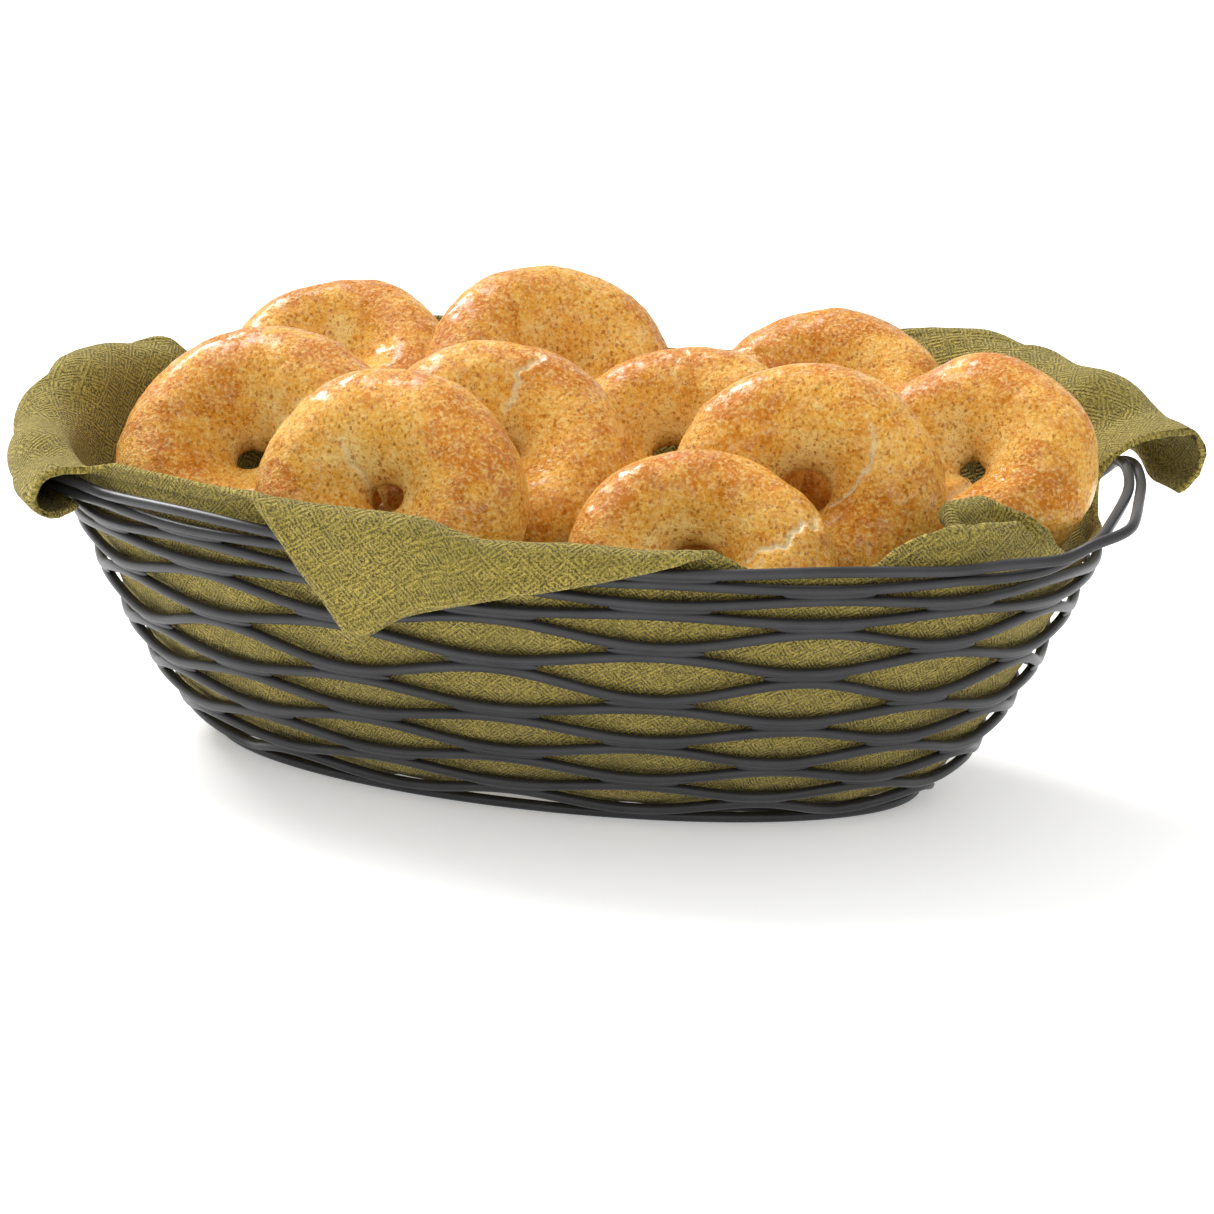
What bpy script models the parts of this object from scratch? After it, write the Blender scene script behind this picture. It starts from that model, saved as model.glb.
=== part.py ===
"""Bagels in a cloth-lined wire basket, modelled piece by piece.

Run it in Blender: blender --background --python part.py
Metres, +Z up. The basket's long axis is X, its front faces -Y and it stands on z = 0.
"""
import math

import bmesh
import bpy
from mathutils import Vector

MM = 0.001
UP = Vector((0.0, 0.0, 1.0))

# Driving dimensions of the basket: an oval bowl of stacked wavy wires.
RIM_HALF_LENGTH = 184 * MM
RIM_HALF_WIDTH = 135 * MM
FOOT_HALF_LENGTH = 124 * MM
FOOT_HALF_WIDTH = 69 * MM
WALL_RISE = 98 * MM
WALL_FLARE = 0.64          # power of the height that the wall's width follows
LEFT_SAG = 5 * MM          # how much lower the rim is at the left end
WIRE_RADIUS = 1.85 * MM
GAP = 0.3 * MM             # left between pieces that touch
WAVES = 10                 # waves of each side wire round the basket
WIRE_SEGMENTS = 60
WIRE_SIDES = 5
FOOT_SIDES = 6
# Heights of the lines where neighbouring wires meet, as parts of the wall's rise.
SEAM_LEVELS = (1.02, 0.965, 0.915, 0.85, 0.79, 0.69, 0.60, 0.485, 0.405, 0.32, 0.235, 0.155, 0.084, 0.0)
RIM_WIRES = 2              # the first wires from the top, which bow out into the handles
RIM_ARC = (38, 142)        # degrees of the rim that follow the oval, front and back

# Handles, from the front rim to the back rim: how far the wire stands beyond the end of the rim's
# oval, y, height above the rim's line. The right handle is bent upwards, and squarer at its front.
HANDLES = {
    "rim_wire_outer": {
        "right": ((-26, -75, 0), (-10.8, -64.5, 0.9), (-0.9, -58, 5.4), (6.3, -52, 8), (9.5, -46, 9.8),
                  (9.8, -34, 11.4), (8.7, -14, 10.8), (7.7, 4, 10.4), (6.4, 22, 10), (4.3, 36, 10.8),
                  (1.5, 46, 11.6), (-4.1, 58, 9.7), (-14, 66.5, 4), (-26, 75, 0)),
        "left": ((-26, -75, 1.8), (-12.4, -64.5, 1.7), (-3.8, -57, 1.7), (1.3, -48, 1.6), (2.6, -28, 1.3),
                 (2, 0, 0.9), (2.6, 28, 1.3), (1.3, 48, 1.6), (-3.8, 57, 1.7), (-12.4, 64.5, 1.7),
                 (-26, 75, 1.8)),
    },
    "rim_wire_inner": {
        "right": ((-28, -73, -5), (-15.7, -63, -3.4), (-6.2, -55, 1.3), (-0.4, -46, 4.6), (1.6, -32, 7.1),
                  (2.9, -16, 8.9), (3.5, 0, 10.2), (3, 14, 10.7), (1.5, 28, 11.2), (-0.9, 40, 12),
                  (-4.5, 49, 11.4), (-9.5, 57, 6), (-17, 64.5, -1), (-28, 73, -5)),
        "left": ((-28, -73, -3.2), (-15.9, -63, -3.3), (-8.2, -52, -3.2), (-3.6, -37, -3.2),
                 (-0.2, -18, -3.3), (0.5, 0, -3.6), (-0.2, 18, -3.3), (-3.6, 37, -3.2),
                 (-8.2, 52, -3.2), (-15.9, 63, -3.3), (-28, 73, -3.2)),
    },
}

BOTTOM_WIRES = 5
BOTTOM_SPACING = 22 * MM
BOTTOM_LIFT = 0.35 * MM    # keeps the foot ring the lowest piece

# Napkin: a square of twill, laid over the bowl with its corners hanging out.
CLOTH_THICKNESS = 1.6 * MM
LINER_INSET = 3.1 * MM     # middle of the cloth to the middle of the wall's wires
LINER_FLOOR = 5.6 * MM
FLOOR_RINGS = (0.3, 0.62, 0.9)
LINER_LEVELS = (0.02, 0.07, 0.15, 0.28, 0.45, 0.63, 0.80, 0.93)

# How the cloth's edge lies, as points (outwards, upwards) in mm from the rim's line.
EDGE_PATHS = {
    "inside": ((-4.6, 0), (-5.2, 2.5), (-5.4, 5), (-5.2, 7.5), (-4.6, 9.5), (-4, 11.5), (-3, 13.5)),
    "standing": ((-3.4, 0.5), (-1.2, 6), (1.5, 12), (4, 18), (6.5, 25), (9, 32), (12, 39)),
    "standing_tall": ((-3.5, 4), (-2.5, 12), (0, 20), (4, 28), (10, 34), (17, 38), (24, 39.5)),
    "front_flap": ((-5.5, 4), (-4, 8.6), (-0.5, 10.2), (3.5, 7.5), (5.5, 0), (5.5, -14), (3.5, -33)),
    "low_flap": ((-4.6, 2), (-3.6, 4.4), (0, 5.4), (3.8, 3), (5.2, -4), (5, -14), (3.5, -26)),
    "turned_in": ((-5, 1), (-6, 5), (-6.5, 8.5), (-8, 11), (-11, 13), (-15, 13.5), (-18, 11.5)),
    "left_back": ((-3.5, 6), (-2.5, 14), (2, 21), (10, 24.5), (18, 23), (23, 15), (24, 4)),
    "left_roll": ((-3.2, 3), (2, 9), (11, 14), (19, 13.5), (22.6, 5), (20.5, -6), (10, -11.5)),
    "left_mid": ((-4.2, 2.5), (0, 7.5), (8, 9.8), (14, 7), (16.4, 0), (13, -8.5), (5, -11)),
    "left_front": ((-5, 1.5), (0, 5.4), (9, 5.6), (16, 1), (18, -5), (12, -11), (4, -11.5)),
    "right_roll": ((-4, 6), (3, 14.5), (14, 19), (26, 22.5), (35, 21.5), (37.5, 9), (30, 1)),
    "right_corner": ((-4, 8), (-1, 18), (7, 27), (19, 31), (30, 28.5), (36.5, 18), (36, 6)),
    "right_slope": ((-4, 7), (-2, 16), (4, 27), (13, 34), (22, 36), (29, 33), (33, 26)),
}
# Round the basket: angle in degrees (-90 is the front), path, how many of its points are used.
EDGE = (
    (-180, "left_roll", 7.0), (-171, "left_mid", 7.0), (-160, "left_mid", 7.0),
    (-150, "left_front", 7.0), (-147.5, "left_front", 6.4), (-146, "left_front", 5.2),
    (-144.8, "left_front", 3.8), (-143.6, "left_front", 2.3), (-141, "inside", 4.5),
    (-134, "inside", 4.8), (-126, "inside", 5.0), (-121.5, "inside", 5.0), (-119.5, "front_flap", 2.8),
    (-116, "front_flap", 3.4), (-113.5, "front_flap", 4.4), (-111, "front_flap", 5.2),
    (-108.8, "front_flap", 5.8), (-106, "front_flap", 6.4), (-103, "front_flap", 6.9),
    (-97, "front_flap", 6.4), (-90, "low_flap", 6.0), (-80, "low_flap", 5.2),
    (-71, "low_flap", 4.2), (-68, "low_flap", 2.8), (-66, "low_flap", 1.7), (-63, "inside", 1.0),
    (-56, "inside", 0.7), (-49.5, "inside", 1.2), (-46, "inside", 3.4), (-42, "turned_in", 3.6),
    (-36, "turned_in", 6.4), (-31, "turned_in", 7.0), (-26, "turned_in", 5.0), (-22, "inside", 3.6),
    (-19, "inside", 1.0), (-15, "inside", 0.7),
    (-2, "inside", 0.6), (11, "inside", 0.7), (15, "right_roll", 1.2), (16.5, "right_roll", 2.4),
    (17.5, "right_roll", 3.6), (18.3, "right_roll", 4.8), (19, "right_roll", 6.0),
    (20, "right_roll", 7.0), (26, "right_roll", 7.0), (33, "right_corner", 7.0),
    (39, "right_corner", 6.8), (46, "right_slope", 6.8), (53, "standing_tall", 6.6),
    (60, "standing_tall", 5.6),
    (70, "standing", 5.4), (80, "standing", 4.3), (92, "standing", 4.3), (105, "standing", 4.9),
    (117, "standing", 5.4), (130, "standing", 4.9), (141, "standing", 4.3),
    (149, "standing", 3.7), (154, "left_back", 4.6), (162, "left_back", 6.6), (171, "left_back", 7.0),
)

# Bagels: a ring of dough with a flat baked base.
RING_RADIUS = 28.8 * MM
DOUGH_RADIUS = 17.4 * MM
BAGEL_SEGMENTS = 14
# Cross-section of the dough, as parts of its radius: across the ring, towards its top.
DOUGH_SECTION = ((-0.60, -0.84), (0.60, -0.84), (0.94, -0.40), (0.98, 0.16), (0.66, 0.70), (0.05, 0.95),
                 (-0.60, 0.74), (-0.98, 0.12), (-0.92, -0.42))
# x, y, z in mm; the way the top faces: turn from the front towards +X, and tilt up from level;
# size; shift of the hole across and up the face in mm; stretch and the turn it lies along.
BAGELS = (
    (-47, -75, 101.5, -10, 23, 1.01, -1.1, 1.7, 0.04, -17),
    (-113, -11, 100, -5, 38, 1.06, -0.3, -2.6, 0.05, 26),
    (-107, 67.5, 115.5, 0, 58, 0.93, 0.7, -0.8, -0.03, 0),
    (-26, 64, 122, 30, 42, 0.98, -0.5, 0.0, 0.02, 0),
    (-21.5, -26.5, 110, 8, 44, 0.97, 0.8, 1.3, -0.05, 47),
    (32, 19, 108, -1, 45, 0.94, -2.8, -2.0, 0.03, 12),
    (73, 76.5, 114, 1, 49, 0.98, -0.3, -0.8, 0.01, 0),
    (83, -23.5, 107.5, 5, 22, 0.98, -1.2, 0.0, 0.03, 9),
    (58.5, -72.5, 89, 6, 32, 0.93, -1.2, 2.4, 0.08, -18),
    (133, 22, 111, -15, 40, 0.94, -0.6, -0.8, 0.0, 0),
    (-91.5, 4.5, 30.5, -22, 78, 1.0, 0.0, 0.0, 0.01, 0),
    (-3, 34, 30, 1, 77, 1.0, 0.6, -1.6, 0.01, 0),
    (86.6, 13, 29.5, 24, 81, 1.0, 0.0, 0.0, 0.0, 0),
    (-64, 36.5, 69.5, -13, 93, 1.0, -1.7, 0.0, 0.0, 0),
    (10.2, -16, 56, 37, 76, 1.0, 1.7, 0.9, 0.0, 0),
    (76, 46.4, 66, 20, 93, 1.0, -0.6, -0.4, 0.0, 0),
)

# Materials: base colour, roughness, metallic.
FINISHES = {
    "charcoal_wire": ((0.075, 0.078, 0.085), 0.38, 0.25),
    "olive_twill": ((0.28, 0.26, 0.08), 0.92, 0.0),
    "bagel_crust": ((0.62, 0.33, 0.11), 0.36, 0.0),
}


def make_material(name):
    """Return the named finish, made on first use."""
    material = bpy.data.materials.get(name)
    if material:
        return material
    colour, roughness, metallic = FINISHES[name]
    material = bpy.data.materials.new(name)
    material.use_nodes = True
    shader = material.node_tree.nodes["Principled BSDF"]
    shader.inputs["Base Color"].default_value = (*colour, 1.0)
    shader.inputs["Roughness"].default_value = roughness
    shader.inputs["Metallic"].default_value = metallic
    material.diffuse_color = (*colour, 1.0)
    return material


def add_piece(name, bm, finish, parent):
    """Turn a bmesh into a named object with its finish, shaded smooth between real edges."""
    bmesh.ops.recalc_face_normals(bm, faces=bm.faces)
    mesh = bpy.data.meshes.new(name)
    bm.to_mesh(mesh)
    bm.free()
    mesh.shade_smooth()
    mesh.set_sharp_from_angle(angle=math.radians(50))
    mesh.materials.append(make_material(finish))
    piece = bpy.data.objects.new(name, mesh)
    bpy.context.collection.objects.link(piece)
    piece.parent = parent
    return piece


def bridge(bm, ring, following):
    """Join two rings of as many points with four-sided faces."""
    count = len(ring)
    for i in range(count):
        bm.faces.new((ring[i], ring[(i + 1) % count], following[(i + 1) % count], following[i]))


def wire_mesh(centres, sides, closed):
    """A round wire along the centres; each section has one side facing straight down."""
    bm = bmesh.new()
    count = len(centres)
    first_corner = -math.pi / 2 - math.pi / sides
    rings = []
    for i, centre in enumerate(centres):
        before = centres[i - 1] if closed or i > 0 else centre
        after = centres[(i + 1) % count] if closed or i < count - 1 else centre
        along = (after - before).normalized()
        across = along.cross(UP).normalized()
        above = across.cross(along)
        ring = []
        for k in range(sides):
            corner = first_corner + math.tau * k / sides
            offset = across * math.cos(corner) + above * math.sin(corner)
            ring.append(bm.verts.new(centre + offset * WIRE_RADIUS))
        rings.append(ring)
    for ring, following in zip(rings, rings[1:]):
        bridge(bm, ring, following)
    if closed:
        bridge(bm, rings[-1], rings[0])
    else:
        bm.faces.new(rings[0])
        bm.faces.new(rings[-1])
    return bm


def wall_flare(level):
    """How far the wall has opened at a level, from 0 at the foot to 1 at the rim."""
    return max(level, 0.0) ** WALL_FLARE


def outwards(angle):
    """Level direction square to the rim at an angle in radians."""
    return Vector((math.cos(angle) / RIM_HALF_LENGTH, math.sin(angle) / RIM_HALF_WIDTH, 0)).normalized()


def wall_point(angle, level):
    """Middle of the wall's wires at an angle in radians and a level."""
    flare = wall_flare(level)
    length = FOOT_HALF_LENGTH + (RIM_HALF_LENGTH - FOOT_HALF_LENGTH) * flare
    width = FOOT_HALF_WIDTH + (RIM_HALF_WIDTH - FOOT_HALF_WIDTH) * flare
    sag = LEFT_SAG * level ** 2 * max(0.0, -math.cos(angle)) ** 2
    height = 2 * WIRE_RADIUS + WALL_RISE * level - sag
    return Vector((length * math.cos(angle), width * math.sin(angle), height))


def wall_pitch(level):
    """Wall length per unit of level, and its outward part, in metres."""
    spread = 0.5 * (RIM_HALF_LENGTH + RIM_HALF_WIDTH - FOOT_HALF_LENGTH - FOOT_HALF_WIDTH)
    run = spread * WALL_FLARE * max(level, 0.004) ** (WALL_FLARE - 1)
    return math.hypot(run, WALL_RISE), run


def wave_levels(index):
    """Highest and lowest level of a wire, counted from the top, so that neighbours just clear."""
    above, below = SEAM_LEVELS[index], SEAM_LEVELS[index + 1]
    half_pitch = WIRE_RADIUS + GAP / 2
    high = above - half_pitch / wall_pitch(above)[0]
    if index + 2 == len(SEAM_LEVELS):
        low = below + 0.012   # clears the foot ring, where the wall runs almost level
    else:
        low = below + half_pitch / wall_pitch(below)[0]
    return high, low


def wave_point(index, angle):
    """Point on a wall wire: neighbouring wires wave against each other."""
    high, low = wave_levels(index)
    swing = math.cos(WAVES * angle) * (1 if index % 2 else -1)
    return wall_point(angle, (high + low) / 2 + swing * (high - low) / 2)


def handle_path(name, side):
    """A wire's way round one handle, from the front rim to the back rim."""
    end, angle = (1, 0.0) if side == "right" else (-1, math.pi)
    rim_height = wall_point(angle, 1.0).z
    return [Vector((end * (RIM_HALF_LENGTH + reach * MM), y * MM, rim_height + lift * MM))
            for reach, y, lift in HANDLES[name][side]]


def rim_wire_path(index, name):
    """Closed path of a rim wire: oval at the front and back, bowed out into a handle at each end."""
    first, last = RIM_ARC
    front = [wave_point(index, math.radians(degrees)) for degrees in range(-last, -first + 1, 4)]
    back = [Vector((p.x, -p.y, p.z)) for p in reversed(front)]
    return front + handle_path(name, "right") + back + handle_path(name, "left")[::-1]


def make_rim_wires(parent):
    for index, name in enumerate(HANDLES):
        add_piece(name, wire_mesh(rim_wire_path(index, name), WIRE_SIDES, True), "charcoal_wire", parent)


def make_side_wires(parent):
    for index in range(RIM_WIRES, len(SEAM_LEVELS) - 1):
        centres = [wave_point(index, math.tau * k / WIRE_SEGMENTS) for k in range(WIRE_SEGMENTS)]
        name = f"side_wire_{index - RIM_WIRES + 1:02d}"
        add_piece(name, wire_mesh(centres, WIRE_SIDES, True), "charcoal_wire", parent)


def make_foot_ring(parent):
    """Oval ring on which the basket stands, its lowest sides flat on z = 0."""
    height = WIRE_RADIUS * math.cos(math.pi / FOOT_SIDES)
    centres = []
    for k in range(WIRE_SEGMENTS):
        angle = math.tau * k / WIRE_SEGMENTS
        centres.append(Vector((FOOT_HALF_LENGTH * math.cos(angle),
                               FOOT_HALF_WIDTH * math.sin(angle), height)))
    add_piece("foot_ring", wire_mesh(centres, FOOT_SIDES, True), "charcoal_wire", parent)


def make_bottom_wires(parent):
    """Wavy wires along the bottom, crest to trough, ending just short of the foot ring."""
    swing = (BOTTOM_SPACING - 2 * WIRE_RADIUS - GAP) / 2
    inner_length = FOOT_HALF_LENGTH - 2 * WIRE_RADIUS - 2 * GAP
    inner_width = FOOT_HALF_WIDTH - 2 * WIRE_RADIUS - 2 * GAP
    wave_length = 2 * inner_length / 4
    for i in range(BOTTOM_WIRES):
        middle = (i - (BOTTOM_WIRES - 1) / 2) * BOTTOM_SPACING
        edge = abs(middle) + WIRE_RADIUS + swing * 0.6
        end = inner_length * math.sqrt(1 - (edge / inner_width) ** 2)
        steps = 20
        centres = []
        for k in range(steps + 1):
            x = end * (2 * k / steps - 1)
            fade = 1 - abs(x / end) ** 6
            y = middle + swing * fade * math.cos(math.tau * x / wave_length) * (1 if i % 2 else -1)
            centres.append(Vector((x, y, WIRE_RADIUS + BOTTOM_LIFT)))
        add_piece(f"bottom_wire_{i + 1}", wire_mesh(centres, WIRE_SIDES, False), "charcoal_wire", parent)


def liner_point(angle, level):
    """Middle of the cloth where it lies against the inside of the wall."""
    pitch, run = wall_pitch(level)
    inset = (-outwards(angle) * WALL_RISE + UP * run) / pitch * LINER_INSET
    point = wall_point(angle, level) + inset
    point.z = max(point.z, LINER_FLOOR)
    return point


def edge_point(angle, name, count):
    """Point on one of the edge paths at an angle, counted along the path's points."""
    rim = wall_point(angle, 1.0)
    start = liner_point(angle, LINER_LEVELS[-1])
    path = [start] + [rim + (outwards(angle) * out + UP * lift) * MM for out, lift in EDGE_PATHS[name]]
    lower = min(int(count), len(path) - 2)
    return path[lower].lerp(path[lower + 1], count - lower)


def napkin_column(angle, name, count):
    """Points from near the middle of the floor, up the wall and along the edge's path."""
    points = []
    for part in FLOOR_RINGS:
        points.append(Vector((part * FOOT_HALF_LENGTH * math.cos(angle),
                              part * FOOT_HALF_WIDTH * math.sin(angle), LINER_FLOOR)))
    points += [liner_point(angle, level) for level in LINER_LEVELS]
    steps = len(EDGE_PATHS[name])
    points += [edge_point(angle, name, count * (k + 1) / steps) for k in range(steps)]
    return points


def make_napkin(parent):
    """One closed sheet: the columns of points round the basket, thickened both ways."""
    columns = [napkin_column(math.radians(degrees), name, count) for degrees, name, count in EDGE]
    middle = Vector((0, 0, LINER_FLOOR))
    number, length = len(columns), len(columns[0])
    bm = bmesh.new()
    sides = []
    for side in (1, -1):
        centre = bm.verts.new(middle + UP * CLOTH_THICKNESS / 2 * side)
        grid = []
        for i, column in enumerate(columns):
            left, right = columns[i - 1], columns[(i + 1) % number]
            verts = []
            for j, point in enumerate(column):
                inner = column[j - 1] if j else middle
                outer = column[j + 1] if j < length - 1 else point
                facing = (outer - inner).cross(left[j] - right[j]).normalized()
                if j < len(FLOOR_RINGS):
                    facing = UP if facing.z > 0 else -UP
                verts.append(bm.verts.new(point - facing * CLOTH_THICKNESS / 2 * side))
            grid.append(verts)
        for i in range(number):
            here, there = grid[i], grid[(i + 1) % number]
            bm.faces.new((centre, here[0], there[0]))
            for j in range(length - 1):
                bm.faces.new((here[j], here[j + 1], there[j + 1], there[j]))
        sides.append(grid)
    for i in range(number):
        following = (i + 1) % number
        bm.faces.new((sides[0][i][-1], sides[1][i][-1], sides[1][following][-1], sides[0][following][-1]))
    add_piece("napkin", bm, "olive_twill", parent)


def make_bagel(name, row, parent):
    """A ring of dough whose hole sits a little off centre and whose base is flat."""
    x, y, z, turn, tilt, size, shift_x, shift_y, stretch, stretch_turn = row
    turn, tilt = math.radians(turn), math.radians(tilt)
    top = Vector((math.sin(turn) * math.cos(tilt), -math.cos(turn) * math.cos(tilt), math.sin(tilt)))
    across = Vector((math.cos(turn), math.sin(turn), 0))
    upwards = top.cross(across)
    bm = bmesh.new()
    rings = []
    for i in range(BAGEL_SEGMENTS):
        angle = math.tau * i / BAGEL_SEGMENTS
        spoke = across * math.cos(angle) + upwards * math.sin(angle)
        widen = stretch * math.cos(2 * (angle - math.radians(stretch_turn)))
        shift = (shift_x * math.cos(angle) + shift_y * math.sin(angle)) * MM / 2
        ring_radius = RING_RADIUS * size * (1 + widen) + shift
        dough = DOUGH_RADIUS * size * (1 + widen / 2) - shift
        centre = Vector((x, y, z)) * MM + spoke * ring_radius
        rings.append([bm.verts.new(centre + (spoke * out + top * height) * dough)
                      for out, height in DOUGH_SECTION])
    for i, ring in enumerate(rings):
        bridge(bm, ring, rings[(i + 1) % BAGEL_SEGMENTS])
    add_piece(name, bm, "bagel_crust", parent)


def centre_over_origin(parent):
    """Move the parent so that the model's box is centred over the origin."""
    bpy.context.view_layer.update()
    corners = [piece.matrix_world @ vertex.co for piece in parent.children for vertex in piece.data.vertices]
    for axis in (0, 1):
        values = [corner[axis] for corner in corners]
        parent.location[axis] = -(min(values) + max(values)) / 2


def main():
    for old in list(bpy.data.objects):
        bpy.data.objects.remove(old, do_unlink=True)
    basket = bpy.data.objects.new("basket_frame", None)
    bpy.context.collection.objects.link(basket)
    make_rim_wires(basket)
    make_side_wires(basket)
    make_foot_ring(basket)
    make_bottom_wires(basket)
    make_napkin(basket)
    for number, row in enumerate(BAGELS, start=1):
        make_bagel(f"bagel_{number:02d}", row, basket)
    centre_over_origin(basket)


main()
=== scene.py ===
"""Bagels heaped on an olive napkin in an oval wire basket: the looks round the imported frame.

Metres, +Z up. The basket's long axis is X and its front faces -Y.
"""
import math

import bpy
import numpy as np
from mathutils import Matrix, Vector


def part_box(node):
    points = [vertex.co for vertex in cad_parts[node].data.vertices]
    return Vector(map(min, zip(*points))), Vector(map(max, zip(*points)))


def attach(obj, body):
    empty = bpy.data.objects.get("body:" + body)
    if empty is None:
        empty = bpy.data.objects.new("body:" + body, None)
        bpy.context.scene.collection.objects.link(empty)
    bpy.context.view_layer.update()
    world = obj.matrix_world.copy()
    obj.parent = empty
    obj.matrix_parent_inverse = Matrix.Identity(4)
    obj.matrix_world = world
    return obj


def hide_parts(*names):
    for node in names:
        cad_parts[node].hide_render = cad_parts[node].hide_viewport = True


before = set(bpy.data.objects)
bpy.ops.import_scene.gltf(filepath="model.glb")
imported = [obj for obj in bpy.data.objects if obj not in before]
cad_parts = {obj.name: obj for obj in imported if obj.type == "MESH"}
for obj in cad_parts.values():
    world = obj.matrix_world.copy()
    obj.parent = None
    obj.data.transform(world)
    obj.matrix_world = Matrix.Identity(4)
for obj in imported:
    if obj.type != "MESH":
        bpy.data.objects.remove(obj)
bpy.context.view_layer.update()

MM = 0.001
UP = np.array([0.0, 0.0, 1.0])
FOOT_LOW, FOOT_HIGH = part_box("foot_ring")
# The frame's coordinates of the point on the ground in the middle of the foot ring.
MIDDLE = np.array([(FOOT_LOW.x + FOOT_HIGH.x) / 2, (FOOT_LOW.y + FOOT_HIGH.y) / 2, 0.0])

# ---------------------------------------------------------------- sizes shared with the solids
RIM_HALF_LENGTH = 184 * MM
RIM_HALF_WIDTH = 135 * MM
FOOT_HALF_LENGTH = 124 * MM
FOOT_HALF_WIDTH = 69 * MM
WALL_RISE = 98 * MM
WALL_FLARE = 0.64
LEFT_SAG = 5 * MM
WIRE_RADIUS = 1.85 * MM
GAP = 0.3 * MM
WAVES = 10
# Levels between neighbouring wires, from above the top rim wire down to the foot ring.
SEAM_LEVELS = (1.02, 0.965, 0.915, 0.85, 0.79, 0.69, 0.60, 0.485, 0.405, 0.32, 0.235, 0.155, 0.084, 0.0)
RIM_WIRES = 2
# The rim wires follow the wall between these degrees from its right and bow into handles past them.
RIM_ARC = (38, 142)
# Guide points round each handle, front to back: mm beyond the rim's end, y in mm, mm above the rim.
HANDLES = {
    "rim_wire_outer": {
        "right": ((-26, -75, 0), (-10.8, -64.5, 0.9), (-0.9, -58, 5.4), (6.3, -52, 8), (9.5, -46, 9.8),
                  (9.8, -34, 11.4), (8.7, -14, 10.8), (7.7, 4, 10.4), (6.4, 22, 10), (4.3, 36, 10.8),
                  (1.5, 46, 11.6), (-4.1, 58, 9.7), (-14, 66.5, 4), (-26, 75, 0)),
        "left": ((-26, -75, 1.8), (-12.4, -64.5, 1.7), (-3.8, -57, 1.7), (1.3, -48, 1.6), (2.6, -28, 1.3),
                 (2, 0, 0.9), (2.6, 28, 1.3), (1.3, 48, 1.6), (-3.8, 57, 1.7), (-12.4, 64.5, 1.7),
                 (-26, 75, 1.8)),
    },
    "rim_wire_inner": {
        "right": ((-28, -73, -5), (-15.7, -63, -3.4), (-6.2, -55, 1.3), (-0.4, -46, 4.6), (1.6, -32, 7.1),
                  (2.9, -16, 8.9), (3.5, 0, 10.2), (3, 14, 10.7), (1.5, 28, 11.2), (-0.9, 40, 12),
                  (-4.5, 49, 11.4), (-9.5, 57, 6), (-17, 64.5, -1), (-28, 73, -5)),
        "left": ((-28, -73, -3.2), (-15.9, -63, -3.3), (-8.2, -52, -3.2), (-3.6, -37, -3.2),
                 (-0.2, -18, -3.3), (0.5, 0, -3.6), (-0.2, 18, -3.3), (-3.6, 37, -3.2),
                 (-8.2, 52, -3.2), (-15.9, 63, -3.3), (-28, 73, -3.2)),
    },
}
BOTTOM_WIRES = 5
BOTTOM_SPACING = 22 * MM
BOTTOM_LIFT = 0.35 * MM
LINER_INSET = 3.1 * MM
LINER_FLOOR = 5.6 * MM
LINER_TOP = 0.93
# How the cloth runs on past the lining: mm outwards and mm upwards from the rim's line, level 1.
EDGE_PATHS = {
    "inside": ((-4.6, 0), (-5.2, 2.5), (-5.4, 5), (-5.2, 7.5), (-4.6, 9.5), (-4, 11.5)),
    "standing": ((-3.4, 0.5), (-1.2, 6), (1.5, 12), (4, 18), (6.5, 25), (9, 32), (12, 39)),
    "standing_tall": ((-3.5, 4), (-2.5, 12), (0, 20), (4, 28), (10, 34), (17, 38), (24, 39.5)),
    "front_flap": ((-5.5, 4), (-4, 8.6), (-0.5, 10.2), (3.5, 7.5), (5.5, 0), (5.5, -14), (3.5, -33)),
    "low_flap": ((-4.6, 2), (-3.6, 4.4), (0, 5.4), (3.8, 3), (5.2, -4), (5, -14), (3.5, -26)),
    "turned_in": ((-5, 1), (-6, 5), (-6.5, 8.5), (-8, 10), (-10.5, 8.5), (-12.5, 4), (-16, 3.5), (-19, 8),
                  (-21.5, 13), (-25, 14.5), (-27.5, 11), (-26, 7)),
    "left_back": ((-3.5, 6), (-2.5, 14), (2, 21), (10, 24.5), (17, 23), (21.5, 15), (22, 4)),
    "left_roll": ((-3.2, 3), (2, 9), (10, 14), (17, 14), (21, 7), (20, -3), (11, -10), (0, -9.5)),
    "left_mid": ((-4.2, 2.5), (0, 7.5), (8, 9.8), (14, 7), (16.4, 0), (14, -7), (7, -11), (-1, -10)),
    "left_front": ((-5, 1.5), (0, 5.2), (9, 5.2), (16, 1), (18, -5), (12, -11), (5, -11.5), (-1, -9.5)),
    "right_roll": ((-4, 6), (3, 15), (14, 20.5), (26, 23.5), (35, 21.5), (38, 9), (31, 0)),
    "right_corner": ((-4, 8), (-1, 19), (7, 29), (19, 34), (30, 31), (36.5, 19), (36, 6)),
    "right_slope": ((-4, 7), (-2, 16), (4, 27), (14, 35), (23, 37.5), (29, 34), (33, 26)),
}
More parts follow.
